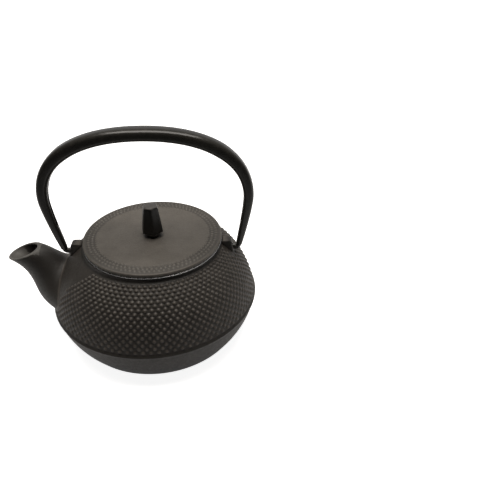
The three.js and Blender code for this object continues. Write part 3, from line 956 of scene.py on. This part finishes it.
def make_side_mesh():
    points, faces = [], []
    uprights = 2 * round(math.pi * (BASKET_TOP_RADIUS + BASKET_FOOT_RADIUS) / 2 / WIRE_PITCH)
    for k in range(uprights):
        a = 2 * math.pi * k / uprights
        out = np.array([math.cos(a), math.sin(a), 0.0])
        zs = np.linspace(SIDE_MESH_BOTTOM_Z, BASKET_TOP_Z - 0.1, 3)
        wire(points, faces, [out * basket_radius(z) + (0, 0, z) for z in zs], [out] * 3, 5, False)
    rows = int((BASKET_TOP_Z - SIDE_MESH_BOTTOM_Z) / WIRE_PITCH)
    for row in range(rows):
        z = SIDE_MESH_BOTTOM_Z + 0.5 + row * WIRE_PITCH
        line, normals = [], []
        for k in range(2 * uprights):
            a = math.pi * k / uprights
            out = np.array([math.cos(a), math.sin(a), 0.0])
            line.append(out * (basket_radius(z) + weave(row, k)) + (0, 0, z))
            normals.append(out)
        wire(points, faces, line, normals, 4, True)
    return smooth(new_piece("woven_wall", points, faces), 60.0)


def make_bottom_mesh():
    points, faces = [], []
    half_count = int(BOTTOM_MESH_RADIUS / WIRE_PITCH)
    up = np.array([0.0, 0.0, 1.0])
    for i in range(-half_count, half_count + 1):
        offset = i * WIRE_PITCH
        reach = math.sqrt(max(BOTTOM_MESH_RADIUS ** 2 - offset ** 2, 0.0)) - 0.2
        if reach < 2:
            continue
        ends = [(x, offset, BOTTOM_MESH_Z) for x in (-reach, 0, reach)]
        wire(points, faces, ends, [up] * 3, 5, False)
        steps = int(reach / (WIRE_PITCH / 2))
        line = []
        for k in range(-steps, steps + 1):
            line.append((offset, k * WIRE_PITCH / 2, BOTTOM_MESH_Z + weave(i, k)))
        wire(points, faces, line, [up] * len(line), 4, False)
    return smooth(new_piece("woven_floor", points, faces), 60.0)


# ---- materials

# A darker and a lighter colour of each finish, which its blotches run between.
BODY_IRON = ((0.067, 0.057, 0.047), (0.101, 0.088, 0.074))
# The lid has the body's paint; its lighter colours are painted light from the lamp above.
LID_IRON_PAINTED_LIGHT = ((0.155, 0.138, 0.116), (0.201, 0.181, 0.155))
# Painted light and highlight in the spout's mouth.
MOUTH_IRON_PAINTED_LIGHT = ((0.150, 0.142, 0.128), (0.210, 0.200, 0.182))
# The knob's bare metal foot, painted pale as a reflection of the lit lid.
FOOT_METAL_AND_REFLECTION = ((0.30, 0.30, 0.28), (0.42, 0.42, 0.40))
LINING_ENAMEL = ((0.006, 0.006, 0.006), (0.012, 0.0115, 0.011))
HANDLE_ENAMEL = ((0.026, 0.025, 0.022), (0.036, 0.034, 0.030))
KNOB_ENAMEL = ((0.005, 0.0045, 0.004), (0.008, 0.007, 0.006))
# The knob's flat top: worn paler, with painted light from the lamp above.
KNOB_TOP_WEAR_AND_LIGHT = ((0.070, 0.064, 0.058), (0.100, 0.092, 0.084))
STEEL = ((0.52, 0.52, 0.525), (0.64, 0.64, 0.65))

# The attribute "crest" is 0 off the hobnails, and runs on them from this at their foot to 1.
CREST_FOOT = 0.15

WHITE = (1.0, 1.0, 1.0)
FLOOR_GLOW = 0.4
FLOOR_GLOW_SEEN = 0.9
FLOOR_AIM = (0.1, 0.99, 0.0)  # the way from the floor's dark side to its bright side
FLOOR_FADE = 0.4  # metres in front and behind over which the fade runs
FLOOR_STOPS = [(0.1, 0.04), (0.28, 0.2), (0.4, 0.75), (0.6, 1.0)]


class Nodes:
    """A node tree, with short ways to add nodes."""

    def __init__(self, tree):
        self.nodes = tree.nodes
        self.links = tree.links

    def ramp(self, source, stops):
        """A colour ramp; stops are (place, colour or grey)."""
        node = self.nodes.new("ShaderNodeValToRGB")
        elements = node.color_ramp.elements
        while len(elements) < len(stops):
            elements.new(0.5)
        for element, (place, colour) in zip(elements, stops):
            element.position = place
            grey = isinstance(colour, (int, float))
            element.color = (*((colour,) * 3 if grey else colour), 1.0)
        self.links.new(source, node.inputs["Fac"])
        return node.outputs["Color"]

    def mix(self, factor, a, b, blend="MIX"):
        """Mixes two colours; each value is a socket, a number or a colour."""
        node = self.nodes.new("ShaderNodeMix")
        node.data_type = "RGBA"
        node.blend_type = blend
        for socket, value in ((node.inputs[0], factor), (node.inputs[6], a), (node.inputs[7], b)):
            if isinstance(value, bpy.types.NodeSocket):
                self.links.new(value, socket)
            elif isinstance(value, (int, float)):
                socket.default_value = value
            else:
                socket.default_value = (*value, 1.0)
        return node.outputs[2]

    def along(self, vector, aim, reach):
        """How far a vector goes along the aim: 0 at -reach, 1 at reach."""
        dot = self.nodes.new("ShaderNodeVectorMath")
        dot.operation = "DOT_PRODUCT"
        dot.inputs[1].default_value = aim
        self.links.new(vector, dot.inputs[0])
        unit = self.nodes.new("ShaderNodeMapRange")
        unit.inputs["From Min"].default_value = -reach
        unit.inputs["From Max"].default_value = reach
        self.links.new(dot.outputs["Value"], unit.inputs["Value"])
        return unit.outputs["Result"]

    def is_seen(self):
        """1 for the camera's own rays, which the part's materials don't ask for."""
        return self.nodes.new("ShaderNodeLightPath").outputs["Is Camera Ray"]


class Shader(Nodes):
    """A material with a Principled surface."""

    def __init__(self, name):
        self.material = bpy.data.materials.new(name)
        self.material.use_nodes = True
        super().__init__(self.material.node_tree)
        self.surface = self.nodes["Principled BSDF"]
        self.place = self.nodes.new("ShaderNodeTexCoord").outputs["Object"]

    def noise(self, size, detail=4.0, roughness=0.55, stretch=None):
        """Noise whose features are about size millimetres across."""
        node = self.nodes.new("ShaderNodeTexNoise")
        node.inputs["Scale"].default_value = 1.0 / (size * MM)
        node.inputs["Detail"].default_value = detail
        node.inputs["Roughness"].default_value = roughness
        place = self.place
        if stretch is not None:
            mapping = self.nodes.new("ShaderNodeMapping")
            mapping.inputs["Scale"].default_value = stretch
            self.links.new(place, mapping.inputs["Vector"])
            place = mapping.outputs["Vector"]
        self.links.new(place, node.inputs["Vector"])
        return node.outputs["Fac"]

    def attribute(self, name):
        node = self.nodes.new("ShaderNodeAttribute")
        node.attribute_name = name
        return node.outputs["Fac"]

    def bump(self, heights):
        """Stacks bumps: heights are (source, depth in millimetres)."""
        normal = None
        for source, depth in heights:
            node = self.nodes.new("ShaderNodeBump")
            node.inputs["Strength"].default_value = 1.0
            node.inputs["Distance"].default_value = depth * MM
            self.links.new(source, node.inputs["Height"])
            if normal is not None:
                self.links.new(normal, node.inputs["Normal"])
            normal = node.outputs["Normal"]
        self.links.new(normal, self.surface.inputs["Normal"])

    def set(self, **values):
        """Sets the surface's inputs; a name's spaces are written as underscores."""
        for name, value in values.items():
            socket = self.surface.inputs[name.replace("_", " ")]
            if isinstance(value, bpy.types.NodeSocket):
                self.links.new(value, socket)
            else:
                socket.default_value = value


def cast_iron(name, colours, plain=0.5, pit=0.5, crest=0.5):
    """Sand-cast iron with a thin matt black finish.

    Its colours are scaled by plain off the hobnails, by pit between them and by crest on their tops.
    A pit below the crest is painted shade between the hobnails and a painted highlight on their tops.
    """
    shader = Shader(name)
    blotches = shader.noise(9.0, 5.0)
    grain = shader.noise(0.5, 3.0, 0.6)
    pits = shader.noise(1.6, 4.0, 0.5)
    colour = shader.ramp(blotches, [(0.3, colours[0]), (0.7, colours[1])])
    specks = shader.ramp(grain, [(0.3, 0.72), (0.7, 1.18)])
    colour = shader.mix(0.6, colour, specks, "MULTIPLY")
    # Painted shade between the hobnails and a painted highlight on their tops.
    shades = [(0.0, plain), (0.08, plain), (CREST_FOOT, pit), (1.0, crest)]
    hobnail_light_and_shade = shader.ramp(shader.attribute("crest"), shades)
    colour = shader.mix(1.0, colour, hobnail_light_and_shade, "MULTIPLY")
    rough = shader.ramp(pits, [(0.3, 0.5), (0.7, 0.66)])
    shader.set(Base_Color=colour, Roughness=rough, Specular_IOR_Level=0.5)
    shader.bump([(pits, 0.10), (grain, 0.05)])
    return shader.material


def gloss_black(name, colours, roughness, specular):
    """Baked black enamel, slightly uneven as sprayed enamel is."""
    shader = Shader(name)
    waves = shader.noise(3.5, 2.0)
    fine = shader.noise(0.6, 2.0)
    colour = shader.ramp(waves, [(0.3, colours[0]), (0.7, colours[1])])
    rough = shader.ramp(fine, [(0.3, roughness - 0.03), (0.7, roughness + 0.05)])
    shader.set(Base_Color=colour, Roughness=rough, Specular_IOR_Level=specular)
    shader.bump([(waves, 0.03), (fine, 0.006)])
    return shader.material


def steel(name, stretch):
    """Brushed stainless steel. A high last number in stretch draws its marks out round the piece."""
    shader = Shader(name)
    brush = shader.noise(1.2, 3.0, 0.6, stretch)
    tone = shader.noise(8.0, 3.0)
    colour = shader.ramp(tone, [(0.3, STEEL[0]), (0.7, STEEL[1])])
    rough = shader.ramp(brush, [(0.25, 0.2), (0.75, 0.36)])
    shader.set(Base_Color=colour, Roughness=rough, Metallic=1.0)
    shader.bump([(brush, 0.008)])
    return shader.material


def floor_material():
    """Pale card that glows as a lamp. The camera sees it evenly bright; the light it throws on the pot
    fades towards the front.
    """
    shader = Shader("white_card")
    tone = shader.noise(60.0, 3.0)
    seen = shader.is_seen()
    fade = shader.ramp(shader.along(shader.place, FLOOR_AIM, FLOOR_FADE), FLOOR_STOPS)
    fade = shader.mix(seen, fade, WHITE)
    colour = shader.ramp(tone, [(0.3, 0.84), (0.7, 0.88)])
    glow = shader.mix(seen, (FLOOR_GLOW,) * 3, (FLOOR_GLOW_SEEN,) * 3)
    shader.set(
        Base_Color=shader.mix(1.0, colour, fade, "MULTIPLY"),
        Emission_Color=shader.mix(1.0, glow, fade, "MULTIPLY"),
        Emission_Strength=1.0,
        Roughness=0.9,
        Specular_IOR_Level=0.1,
    )
    return shader.material


# ---- assembly


def rows_of(items, value):
    """One vector of each vertex or face of a mesh, as the rows of an array."""
    values = np.zeros(len(items) * 3, np.float32)
    items.foreach_get(value, values)
    return values.reshape(-1, 3).astype(float)


def points_of(piece):
    return rows_of(piece.data.vertices, "co") / MM


def face_centres(piece):
    return rows_of(piece.data.polygons, "center") / MM


def store_crest(piece, dotted, heights):
    """Stores how high each point lies on its hobnail, from 0 to 1, for the painted shade and highlight
    in the cast iron's colour.
    """
    crest = np.where(dotted, CREST_FOOT + (1 - CREST_FOOT) * np.clip(heights, 0, 1), 0.0)
    attribute = piece.data.attributes.new("crest", "FLOAT", "POINT")
    attribute.data.foreach_set("value", crest.astype(np.float32))


def finish_piece(piece, materials, body, node, part=None):
    """Puts a piece in the frame. part is the number of each face's material."""
    piece.data.materials.clear()
    for material in materials:
        piece.data.materials.append(material)
    if part is not None:
        piece.data.polygons.foreach_set("material_index", part.astype(np.int32))
    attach(piece, body)
    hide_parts(node)


def lining(centres):
    """The faces of the pot's enamelled inside."""
    radius, z = np.hypot(centres[:, 0], centres[:, 1]), centres[:, 2]
    inside = (radius < ground_radius(z) - LINING_DEPTH) & (z > FLOOR_Z - 0.1)
    return inside & ((radius < OPENING_RADIUS + 0.3) | (z < NECK_UNDERSIDE_Z + 0.6))


def mouth_painted_light(pot, centres):
    """The faces of the spout's mouth painted paler: a painted highlight on its rim, and painted light on
    the upward floor just inside it.
    """
    upward = rows_of(pot.data.polygons, "normal")[:, 2]
    top, tip = np.array(RIDGE[-1]), np.array(KEEL[-1])
    along = (tip - top) / np.linalg.norm(tip - top)
    out = np.array([along[1], -along[0]])
    depth = (top - centres[:, [0, 2]]) @ out
    beyond = centres[:, 0] < top[0] + 0.5
    rim = depth < MOUTH_RIM_DEPTH
    floor = (depth < MOUTH_FLOOR_DEPTH) & (upward > MOUTH_FLOOR_RISE)
    floor &= abs(centres[:, 1]) < MOUTH_FLOOR_HALF_WIDTH
    return beyond & (rim | floor)


def finish_pot():
    pot = make_pot()
    points = points_of(pot)
    z = points[:, 2]
    above = np.hypot(points[:, 0], points[:, 1]) - ground_radius(z)
    height = above * np.interp(z, ground.points[:, 1], ground.normals[:, 0]) / BODY_DOT_HEIGHT
    store_crest(pot, (z > GROUND_START_Z) & (height > -0.1) & (height < 1.1), height)
    centres = face_centres(pot)
    part = np.where(lining(centres), 1, 0)
    # Painted light in the spout's mouth, on its rim and its upward floor.
    part[mouth_painted_light(pot, centres)] = 2
    materials = [
        # pit and crest: painted shade between the hobnails and a painted highlight on their tops
        cast_iron("cast_iron_body", BODY_IRON, plain=0.28, pit=0.42, crest=1.0),
        gloss_black("enamel_lining", LINING_ENAMEL, 0.3, 0.5),
        cast_iron("cast_iron_mouth_painted_light", MOUTH_IRON_PAINTED_LIGHT),
    ]
    finish_piece(pot, materials, "pot", "pot_body", part)


def finish_lid():
    lid = make_lid()
    points = points_of(lid)
    radius = np.hypot(points[:, 0], points[:, 1])
    lift = points[:, 2] - (LID_TOP_Z - LID_DOT_HEIGHT)
    dotted = (radius > LID_DOTS_FROM) & (radius < LID_DOTS_TO) & (lift > -0.01)
    store_crest(lid, dotted, lift / LID_DOT_HEIGHT)
    # The lid's lighter colours are painted light; pit and crest paint shade between its hobnails and a
    # highlight on their tops.
    iron = cast_iron("cast_iron_lid_face", LID_IRON_PAINTED_LIGHT, plain=0.57, pit=0.3, crest=0.66)
    finish_piece(shifted(lid), [iron], "lid", "lid")


def finish_knob():
    knob = make_knob()
    height = face_centres(knob)[:, 2]
    part = np.where(height > KNOB_CROWN_Z, 2, 0)
    part[(height > KNOB_BOTTOM_Z + 0.02) & (height < KNOB_FOOT_TOP_Z)] = 1
    materials = [
        gloss_black("knob_enamel", KNOB_ENAMEL, 0.42, 0.6),
        # bare metal, painted pale as a reflection of the lit lid
        cast_iron("bare_knob_foot_painted_reflection", FOOT_METAL_AND_REFLECTION),
        # worn top, with painted light
        gloss_black("knob_top_wear_and_painted_light", KNOB_TOP_WEAR_AND_LIGHT, 0.45, 0.6),
    ]
    finish_piece(shifted(knob), materials, "lid", "lid_knob", part)


def finish_handle():
    enamel = gloss_black("black_enamel", HANDLE_ENAMEL, 0.2, 0.32)
    finish_piece(make_handle(), [enamel], "handle", "bail_handle")


def finish_steel():
    sheet = steel("brushed_stainless", (1.0, 1.0, 14.0))
    wires = steel("wire_steel", (1.0, 1.0, 1.0))
    for make, material, body, node, slot in (
        (make_washer, sheet, "lid", "knob_washer", "stainless"),
        (make_infuser_rim, sheet, "infuser", "infuser_rim", "stainless"),
        (make_bottom_ring, sheet, "infuser", "infuser_bottom_ring", "stainless"),
        (make_side_mesh, wires, "infuser", "infuser_side_mesh", "steel_mesh"),
        (make_bottom_mesh, wires, "infuser", "infuser_bottom_mesh", "steel_mesh"),
    ):
        finish_piece(shifted(make()), [material], body, node)


finish_pot()
finish_lid()
finish_handle()
finish_knob()
finish_steel()

# ---- studio

FLOOR_HALF_SIDE = 4000.0
FLOOR_DROP = 0.2  # so that the floor doesn't share the base's own plane

SOFTBOX_PLACE = (0.0, 0.12, 1.25)
SOFTBOX_TARGET = (0.0, 0.0, 0.05)
SOFTBOX_SIZE = (1.0, 0.8)
SOFTBOX_WATTS = 16.8
SOFTBOX_COLOUR = (1.0, 0.95, 0.89)

# The surround as reflections see it: dark in front, and bright low down behind. Both ramps run
# from -1 to 1 along a direction.
WORLD_STRENGTH = 0.78
WORLD_AIM = (0.06, 1.0, 0.0)
WORLD_ALONG_AIM = [(0.0, 0.0), (0.5, 0.03), (0.72, 0.5), (1.0, 1.0)]
WORLD_UPWARDS = [(0.5, 1.0), (0.63, 0.7), (0.8, 0.4), (1.0, 0.3)]


def make_floor():
    half = FLOOR_HALF_SIDE
    corners = [(-half, -half, 0), (half, -half, 0), (half, half, 0), (-half, half, 0)]
    floor = new_piece("floor", corners, [(0, 1, 2, 3)])
    floor.location.z = -FLOOR_DROP * MM
    floor.data.materials.append(floor_material())


def make_softbox():
    data = bpy.data.lights.new("softbox", "AREA")
    data.shape = "RECTANGLE"
    data.size, data.size_y = SOFTBOX_SIZE
    data.energy = SOFTBOX_WATTS
    data.color = SOFTBOX_COLOUR
    light = bpy.data.objects.new("softbox", data)
    light.location = SOFTBOX_PLACE
    light.rotation_mode = "QUATERNION"
    aim = Vector(SOFTBOX_TARGET) - Vector(SOFTBOX_PLACE)
    light.rotation_quaternion = aim.to_track_quat("-Z", "Y")
    bpy.context.scene.collection.objects.link(light)


def make_world():
    """A white surround for the camera, and a shaded one for light and reflections."""
    world = bpy.data.worlds.new("studio")
    bpy.context.scene.world = world
    world.use_nodes = True
    world.node_tree.nodes.clear()
    tree = Nodes(world.node_tree)
    direction = tree.nodes.new("ShaderNodeTexCoord").outputs["Generated"]
    depth = tree.ramp(tree.along(direction, WORLD_AIM, 1.0), WORLD_ALONG_AIM)
    height = tree.ramp(tree.along(direction, (0.0, 0.0, 1.0), 1.0), WORLD_UPWARDS)
    shaded = tree.nodes.new("ShaderNodeBackground")
    tree.links.new(tree.mix(1.0, depth, height, "MULTIPLY"), shaded.inputs["Color"])
    shaded.inputs["Strength"].default_value = WORLD_STRENGTH
    white = tree.nodes.new("ShaderNodeBackground")
    white.inputs["Color"].default_value = (*WHITE, 1.0)
    switch = tree.nodes.new("ShaderNodeMixShader")
    output = tree.nodes.new("ShaderNodeOutputWorld")
    tree.links.new(tree.is_seen(), switch.inputs[0])
    tree.links.new(shaded.outputs[0], switch.inputs[1])
    tree.links.new(white.outputs[0], switch.inputs[2])
    tree.links.new(switch.outputs[0], output.inputs["Surface"])


make_floor()
make_world()
make_softbox()

bpy.context.scene.view_settings.view_transform = "Standard"
